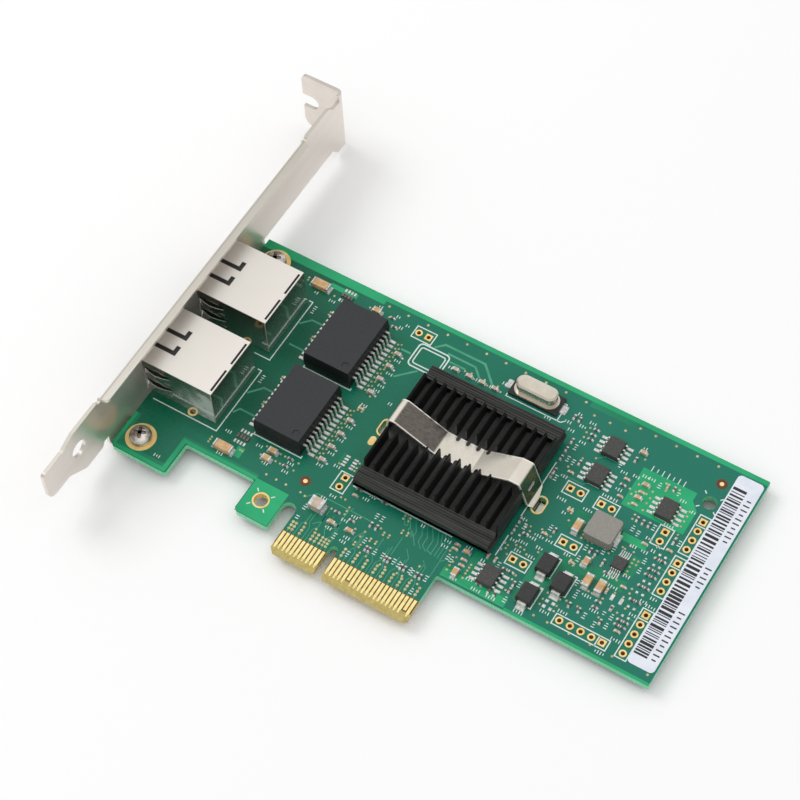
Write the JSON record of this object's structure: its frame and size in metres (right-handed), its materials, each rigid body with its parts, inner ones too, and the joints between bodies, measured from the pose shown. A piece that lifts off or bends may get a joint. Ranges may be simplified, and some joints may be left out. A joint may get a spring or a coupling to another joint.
{
  "type": "network interface card",
  "caption": "Expansion card with a full-height bracket, two shielded modular ports, isolation transformers, a finned heat sink under a spring clip, and a notched gold edge connector.",
  "frame": {"origin": "middle of the key notch, on the edge connector's lower edge, at the board's component face", "axes": "+X along the card, away from the bracket; +Y from the edge connector to the card's top edge; +Z out of the component face"},
  "size_m": [0.1419, 0.12, 0.0197],
  "materials": {
    "board_laminate": "green solder mask, satin",
    "gold_plate": "gold plated, polished",
    "tinned_copper": "bare tinned copper",
    "bracket_steel": "nickel-plated sheet steel, satin",
    "screw_steel": "nickel-plated steel",
    "port_metal": "nickel-plated, bright satin",
    "port_plastic": "black moulded",
    "black_mould": "dark grey moulded epoxy",
    "lead_tin": "tin-plated leads",
    "anodised_black": "black anodised",
    "spring_steel": "nickel-plated spring steel",
    "silicone_pad": "grey thermal pad",
    "crystal_metal": "drawn metal can, satin",
    "crystal_plastic": "black base plate",
    "ferrite": "warm grey moulded powder",
    "ceramic_tan": "tan multilayer ceramic",
    "label_paper": "white, matt"
  },
  "bodies": {
    "root": {"circuit_board": "board_laminate", "edge_contacts_front": "gold_plate", "edge_contacts_back": "gold_plate", "bracket": "bracket_steel", "bracket_screws": "screw_steel", "port_1_shield": "port_metal", "port_2_shield": "port_metal", "port_1_housing": "port_plastic", "port_2_housing": "port_plastic", "port_1_insert": "port_plastic", "port_2_insert": "port_plastic", "port_1_contacts": "gold_plate", "port_2_contacts": "gold_plate", "transformer_1_body": "black_mould", "transformer_2_body": "black_mould", "transformer_1_leads": "lead_tin", "transformer_2_leads": "lead_tin", "controller_chip": "black_mould", "thermal_pad": "silicone_pad", "heat_sink": "anodised_black", "heat_sink_clip": "spring_steel", "crystal_can": "crystal_metal", "crystal_base": "crystal_plastic", "crystal_tabs": "tinned_copper", "power_inductor": "ferrite", "inductor_terminals": "tinned_copper", "rectifier_bodies": "black_mould", "rectifier_terminals": "lead_tin", "small_chip_bodies": "black_mould", "small_chip_leads": "lead_tin", "micro_chip_body": "black_mould", "micro_chip_leads": "lead_tin", "capacitor_bodies": "ceramic_tan", "capacitor_ends": "tinned_copper", "tall_capacitor_body": "ceramic_tan", "tall_capacitor_ends": "tinned_copper", "edge_label": "label_paper"}
  },
  "joints": []
}
